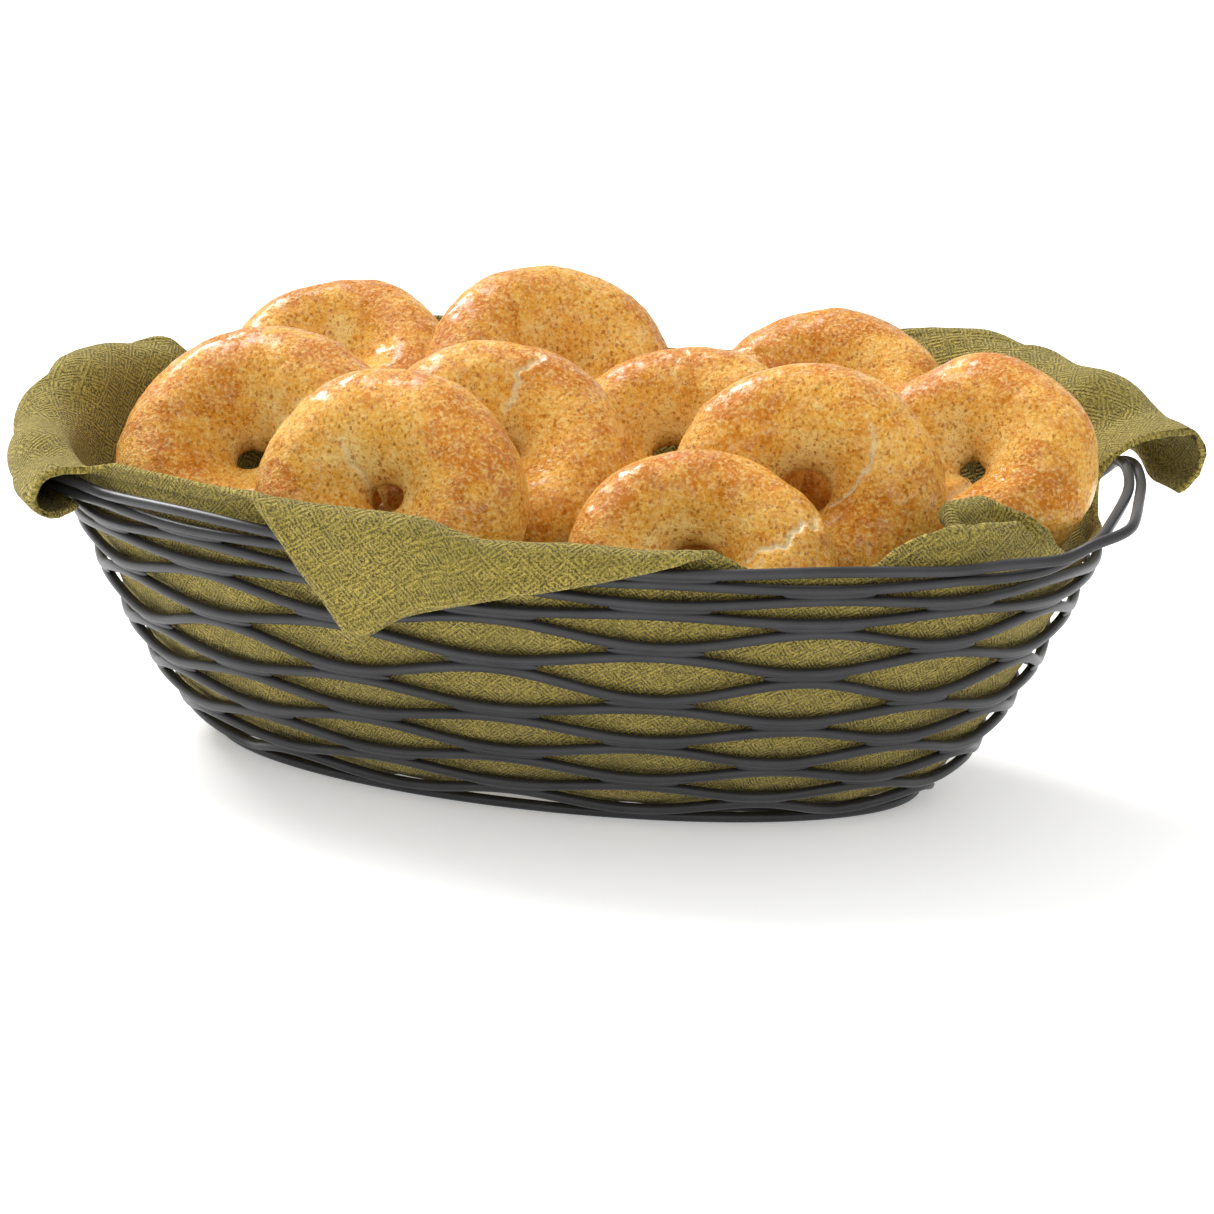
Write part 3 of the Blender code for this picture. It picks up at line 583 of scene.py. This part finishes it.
def make_bagel(number, row, finish):
    """A ring of dough with an off-centre hole, a flat base and its seams, leaning as it lies."""
    x, y, z, turn, tilt, size, shift_x, shift_y, stretch, stretch_turn = row
    turn, tilt = math.radians(turn), math.radians(tilt)
    top = np.array([math.sin(turn) * math.cos(tilt), -math.cos(turn) * math.cos(tilt), math.sin(tilt)])
    across = np.array([math.cos(turn), math.sin(turn), 0])
    upwards = np.cross(top, across)
    shown = number <= SHOWN_BAGELS
    steps, sides = (BAGEL_STEPS, BAGEL_SIDES) if shown else (HIDDEN_BAGEL_STEPS, HIDDEN_BAGEL_SIDES)
    round_ring = (math.tau * np.arange(steps) / steps)[:, None]
    round_dough = (math.tau * np.arange(sides) / sides)[None]
    widen = stretch * np.cos(2 * (round_ring - math.radians(stretch_turn)))
    shift = (shift_x * np.cos(round_ring) + shift_y * np.sin(round_ring)) * MM / 2
    ring_radius = RING_RADIUS * size * (1 + widen) + shift
    dough = DOUGH_RADIUS * size * (1 + widen / 2) - shift
    c, s = np.cos(round_dough), np.sin(round_dough)
    flat = np.where(s < 0, 2 / BASE_SQUARENESS, 1.0)
    out = DOUGH_OUT * np.sign(c) * np.abs(c) ** flat
    height = np.where(s < 0, DOUGH_BASE, DOUGH_TOP) * np.abs(s) ** flat
    # How the hole's filling varies round the ring, in another way for each bagel.
    uneven = 0.06 * np.cos(2 * round_ring + 1.7 * number) + 0.04 * np.cos(3 * round_ring + number)
    fill = HOLE_FILL.get(number, HIDDEN_HOLE_FILL) * MM * (0.9 + uneven)
    out = out - fill / dough * np.where(c < 0, c ** 4, 0)
    spoke = across * np.cos(round_ring)[..., None] + upwards * np.sin(round_ring)[..., None]
    points = (np.array([x, y, z]) * MM + spoke * (ring_radius + out * dough)[..., None]
              + top * (height * dough)[..., None])
    normals = unit(np.cross(np.roll(points, -1, 1) - np.roll(points, 1, 1),
                            np.roll(points, -1, 0) - np.roll(points, 1, 0)))
    centre_line = np.array([x, y, z]) * MM + spoke * ring_radius[..., None]
    normals *= np.sign(np.einsum("ijk,ijk->ij", normals, points - centre_line))[..., None]
    bumps = sum(swell(points, length, seed + number) * high for length, seed, high in DOUGH_SWELLS)
    crease = np.zeros((steps, sides))
    for bagel, ring_place, lean, dough_place, reach, depth, step, paleness in SEAMS:
        if bagel != number:
            continue
        far = half_turned(round_dough - math.radians(dough_place))
        wander = 0.05 * np.sin(round_dough * 7 + number) + 0.03 * np.sin(round_dough * 17)
        off = half_turned(round_ring - math.radians(ring_place) - far * lean + wander)
        off = off * (ring_radius + out * dough) / MM
        hold = np.clip(1 - (far / math.radians(reach)) ** 2, 0, 1) ** SEAM_FADE_POWER
        raised = np.exp(off / SEAM_SLOPE) * (1 - np.exp(off / SEAM_LIP))
        shoulder = np.where(off < 0, raised, SEAM_DIP * np.exp(-off / SEAM_FOOT))
        bumps += hold * (step * shoulder - depth * np.exp(-(off / SEAM_GROOVE) ** 2))
        crease = np.maximum(crease, paleness * hold * np.exp(-(off / SEAM_PALE) ** 2))
    points = points + normals * (bumps * MM)[..., None]
    face_up = 0.65 * s + 0.45 * normals[..., 2]
    outer = np.broadcast_to(c, (steps, sides))
    add_piece(f"crusty_bagel_{number:02d}", points, [grid_faces(steps, sides, True, True)], finish,
              [f"bagel_{number:02d}"], {"face_up": face_up, "outer_side": outer, "crease": crease})


# ---------------------------------------------------------------- finishes
class Value:
    """A number in a material: Python's operators on it add Math nodes."""

    def __init__(self, finish, socket):
        self.finish, self.socket = finish, socket

    def __add__(self, other):
        return self.finish.maths("ADD", self, other)

    def __sub__(self, other):
        return self.finish.maths("SUBTRACT", self, other)

    def __mul__(self, other):
        return self.finish.maths("MULTIPLY", self, other)

    def __truediv__(self, other):
        return self.finish.maths("DIVIDE", self, other)

    def __rsub__(self, other):
        return self.finish.maths("SUBTRACT", other, self)

    __radd__ = __add__
    __rmul__ = __mul__


class Finish:
    """A material whose nodes are added by type, with their settings and their sockets' values."""

    def __init__(self, name, constants):
        self.material = bpy.data.materials.new(name)
        self.material.use_nodes = True
        self.tree = self.material.node_tree
        self.shader = self.tree.nodes["Principled BSDF"]
        self.fill(self.shader, constants)

    def fill(self, node, values):
        for key, value in values.items():
            if isinstance(value, Value):
                self.tree.links.new(value.socket, node.inputs[key])
            else:
                node.inputs[key].default_value = value

    def node(self, kind, settings=None, values=None, out=0):
        node = self.tree.nodes.new(kind)
        for key, value in (settings or {}).items():
            setattr(node, key, value)
        self.fill(node, values or {})
        return Value(self, node.outputs[out])

    def maths(self, operation, *values):
        return self.node("ShaderNodeMath", {"operation": operation}, dict(enumerate(values)))

    def clamped(self, value):
        return self.node("ShaderNodeClamp", {}, {0: value})

    def between(self, value, low, high):
        """0 up to low, 1 from high on, and eased in between."""
        return self.node("ShaderNodeMapRange", {"interpolation_type": "SMOOTHSTEP"},
                         {0: value, 1: low, 2: high})

    def mix(self, share, first, second):
        """Colours: first where share is 0, second where it is 1."""
        return self.node("ShaderNodeMix", {"data_type": "RGBA"}, {0: share, 6: first, 7: second}, 2)

    def kept(self, name):
        """A value stored on the mesh's points."""
        return self.node("ShaderNodeAttribute", {"attribute_name": name}, {}, "Fac")

    def place(self):
        return self.node("ShaderNodeTexCoord", {}, {}, "Object")

    def noise(self, place, size, detail=2.0, roughness=0.5, out=0):
        """Noise whose features are about as large as size in metres."""
        return self.node("ShaderNodeTexNoise", {}, {"Vector": place, "Scale": 1 / size, "Detail": detail,
                                                    "Roughness": roughness}, out)

    def bump(self, height, depth):
        """Height from 0 to 1 as a relief of that depth in metres."""
        normal = self.node("ShaderNodeBump", {}, {"Height": height, "Distance": depth, "Strength": 1.0})
        self.fill(self.shader, {"Normal": normal})


def colour(red, green, blue):
    """A colour given as it looks, from 0 to 255, in the linear values that shaders take."""
    def linear(channel):
        channel /= 255
        return channel / 12.92 if channel <= 0.04045 else ((channel + 0.055) / 1.055) ** 2.4
    return (linear(red), linear(green), linear(blue), 1.0)


def coated_wire():
    """Dark grey coating with a soft sheen, a little uneven."""
    finish = Finish("charcoal_coating", {"Specular IOR Level": 0.38, "Coat Roughness": 0.3})
    place = finish.place()
    worn = finish.noise(place, 18 * MM, 3)
    fine = finish.noise(place, 1.1 * MM, 2)
    tone = finish.between(worn, 0.35, 0.7)
    base = finish.mix(tone, colour(33, 33, 35), colour(42, 42, 45))
    finish.fill(finish.shader, {"Base Color": base, "Roughness": 0.36 + worn * 0.12 + fine * 0.05,
                                "Coat Weight": 0.12 + worn * 0.1})
    finish.bump(fine * 0.7 + worn * 0.8, COATING_RELIEF)
    return finish.material


def olive_twill():
    """Diamond twill with fuzzy yarn and a stitched hem; painted light on its ridges and painted shade in its
    valleys.
    """
    finish = Finish("olive_twill", {"Sheen Weight": 0.12, "Sheen Roughness": 0.5, "Specular IOR Level": 0.2})
    place = finish.place()
    u, v, to_hem = finish.kept("weave_u"), finish.kept("weave_v"), finish.kept("to_hem")
    wander = (finish.noise(place, 6 * MM, 2) - 0.5) * 0.12
    diamond = (finish.maths("PINGPONG", u / DIAMOND_LENGTH + wander, 0.5)
               + finish.maths("PINGPONG", v / DIAMOND_HEIGHT + wander, 0.5))
    ridge = 0.5 + 0.5 * finish.maths("COSINE", diamond * (math.tau * DIAMOND_RIDGES))
    cross = (finish.maths("PINGPONG", u / YARN_LENGTH, 0.5)
             * finish.maths("PINGPONG", v / YARN_HEIGHT, 0.5) * 4)
    yarn = finish.noise(place, 0.55 * MM, 2)
    shade = finish.noise(place, 22 * MM, 3)
    fluff = finish.noise(place, 1.6 * MM, 3)
    stitch = (finish.between(finish.maths("ABSOLUTE", to_hem - STITCH_INSET), 0.75 * MM, 0.35 * MM)
              * finish.between(finish.maths("PINGPONG", u / STITCH_LENGTH, 0.5), 0.1, 0.2))
    height = ridge * 0.55 + cross * 0.2 + yarn * 0.6 - stitch * 0.25
    # Painted light and shade: the diamonds' ridges and the yarn's crossings are made paler and the valleys
    # darker olive, as their relief would be lit; the yarn and fluff noise add the yarn's own uneven tone.
    light = finish.clamped(ridge * 0.34 + (yarn - 0.5) * 2.2 + cross * 0.3 + (fluff - 0.5) * 1.0 + 0.18)
    base = finish.mix(light, colour(74, 65, 16), colour(206, 184, 88))
    base = finish.mix(finish.between(shade, 0.3, 0.75) * 0.35, base, colour(130, 118, 52))
    base = finish.mix(stitch * 0.12, base, colour(80, 78, 34))
    finish.fill(finish.shader, {"Base Color": base, "Roughness": 0.84 + yarn * 0.12})
    finish.bump(height, TWILL_RELIEF)
    return finish.material


def baked_crust():
    """Golden crust, browner on top and outside, with bran flecks, pale seams, a patchy gloss and fine pale
    specks that are partly painted glints.
    """
    finish = Finish("baked_crust", {"Specular IOR Level": 0.2, "Specular Tint": (1.0, 0.7, 0.36, 1.0),
                                    "Coat Roughness": 0.22})
    place = finish.place()
    face_up, outer_side, crease = finish.kept("face_up"), finish.kept("outer_side"), finish.kept("crease")
    hole_side = finish.clamped(0 - outer_side)
    patches = finish.noise(place, 30 * MM, 3, 0.55)
    mottle = finish.noise(place, 7 * MM, 4, 0.6)
    grain_and_glint_specks = finish.noise(place, 1.3 * MM, 3, 0.6)
    browned = finish.clamped(0.27 + face_up * 0.42 + outer_side * 0.14 + (patches - 0.5) * 1.4
                             + (mottle - 0.5) * 1.3 - crease * 0.5)
    base = finish.mix(finish.between(browned, 0.0, 0.5), colour(252, 218, 136), colour(242, 178, 72))
    base = finish.mix(finish.between(browned, 0.42, 0.95), base, colour(206, 120, 14))
    foot = finish.between(face_up, -0.35, -0.85)
    base = finish.mix(foot * 0.5, base, colour(198, 122, 40))
    bent = finish.node("ShaderNodeVectorMath", {"operation": "MULTIPLY_ADD"},
                       {0: finish.noise(place, 0.9 * MM, 2, out=1), 1: (FLECK_BEND,) * 3, 2: place})
    streaked = finish.node("ShaderNodeMapping", {},
                           {0: bent, "Rotation": (0.5, 0.3, 0.7), "Scale": (1.0, 0.5, 0.8)})
    flecks = 0
    for size, rare, depth in FLECKS:
        cells = {"Vector": streaked, "Scale": 1 / size}
        reach = finish.node("ShaderNodeTexVoronoi", {}, cells)
        cell_colour = finish.node("ShaderNodeTexVoronoi", {}, cells, 1)
        chance = finish.node("ShaderNodeSeparateColor", {}, {0: cell_colour})
        radius = (chance - rare) * (0.5 / (1 - rare))
        flecks = finish.maths("MAXIMUM", flecks, finish.between(radius - reach, -0.14, 0.12) * depth)
    base = finish.mix(flecks, base, colour(172, 92, 14))
    # Fine grain of the crust in darker and paler specks; the pale specks also stand in for its tiny glints,
    # as painted highlights.
    base = finish.mix(finish.between(grain_and_glint_specks, 0.5, 0.3) * 0.4, base, colour(196, 116, 24))
    base = finish.mix(finish.between(grain_and_glint_specks, 0.46, 0.68) * 0.55, base, colour(254, 224, 144))
    base = finish.mix(crease, base, colour(255, 240, 200))
    wrinkles = finish.noise(place, 1.7 * MM, 4, 0.7)
    shine = finish.noise(place, 5 * MM, 4, 0.65)
    finish.fill(finish.shader, {"Base Color": base,
                                "Roughness": 0.36 + shine * 0.2 + flecks * 0.1 + hole_side * 0.1,
                                "Coat Weight": finish.clamped(0.04 + finish.between(shine, 0.45, 0.62) * 0.8
                                                              - hole_side * 0.4 - crease * 0.3)})
    finish.bump(grain_and_glint_specks * 0.6 + wrinkles * 1.4 + mottle * 0.5 - flecks * 0.15, CRUST_RELIEF)
    return finish.material


def pale_ground():
    """Plain pale floor with a little light of its own."""
    finish = Finish("pale_ground", {"Roughness": 0.6, "Specular IOR Level": 0.2, "Emission Strength": 0.30,
                                    "Emission Color": (1, 1, 1, 1)})
    speckle = finish.noise(finish.place(), GROUND_SPECKLE, 2)
    base = finish.mix(speckle, colour(250, 250, 250), colour(252, 252, 252))
    finish.fill(finish.shader, {"Base Color": base})
    return finish.material


# ---------------------------------------------------------------- camera, ground and light
def make_camera():
    turn, tilt, roll = CAMERA_TURN, CAMERA_TILT, CAMERA_ROLL
    back = Vector((math.sin(turn) * math.cos(tilt), -math.cos(turn) * math.cos(tilt), math.sin(tilt)))
    right = Vector((math.cos(turn), math.sin(turn), 0))
    above = back.cross(right)
    side = right * math.cos(roll) + above * math.sin(roll)
    upright = above * math.cos(roll) - right * math.sin(roll)
    camera = bpy.data.objects.new("camera", bpy.data.cameras.new("camera"))
    bpy.context.scene.collection.objects.link(camera)
    target = Vector(MIDDLE) + Vector((0, 0, CAMERA_TARGET_HEIGHT))
    place = target + back * CAMERA_DISTANCE * MM
    camera.matrix_world = Matrix.Translation(place) @ Matrix((side, upright, back)).transposed().to_4x4()
    camera.data.lens, camera.data.sensor_width = LENS, SENSOR_WIDTH
    camera.data.shift_x, camera.data.shift_y = LENS_SHIFT
    camera.data.clip_start, camera.data.clip_end = NEAREST, FARTHEST
    bpy.context.scene.camera = camera


def add_light(name, direction, spread, strength):
    """A soft even light that comes from a direction, spread over that many degrees of sky."""
    lamp = bpy.data.lights.new(name, "SUN")
    lamp.angle, lamp.energy = math.radians(spread), strength
    light = bpy.data.objects.new(name, lamp)
    light.rotation_euler = Vector(direction).to_track_quat("Z", "Y").to_euler()
    bpy.context.scene.collection.objects.link(light)


def make_stage():
    mesh = bpy.data.meshes.new("ground")
    corners = [(x * GROUND_REACH, y * GROUND_REACH, 0) for x, y in ((-1, -1), (1, -1), (1, 1), (-1, 1))]
    mesh.from_pydata(corners, [], [(0, 1, 2, 3)])
    mesh.materials.append(pale_ground())
    ground = bpy.data.objects.new("ground", mesh)
    bpy.context.scene.collection.objects.link(ground)
    for name, (direction, spread, strength) in LIGHTS.items():
        add_light(name, direction, spread, strength)
    world = bpy.context.scene.world or bpy.data.worlds.new("studio")
    bpy.context.scene.world = world
    world.use_nodes = True
    background = world.node_tree.nodes["Background"]
    background.inputs["Color"].default_value = (1, 1, 1, 1)
    background.inputs["Strength"].default_value = ROOM_BRIGHTNESS
    bpy.context.scene.view_settings.view_transform = "Standard"


make_camera()
make_stage()
wire, twill, crust = coated_wire(), olive_twill(), baked_crust()
make_wires(wire)
make_bottom_wires(wire)
make_welds(wire)
make_napkin(twill)
for number, row in enumerate(BAGELS, start=1):
    make_bagel(number, row, crust)
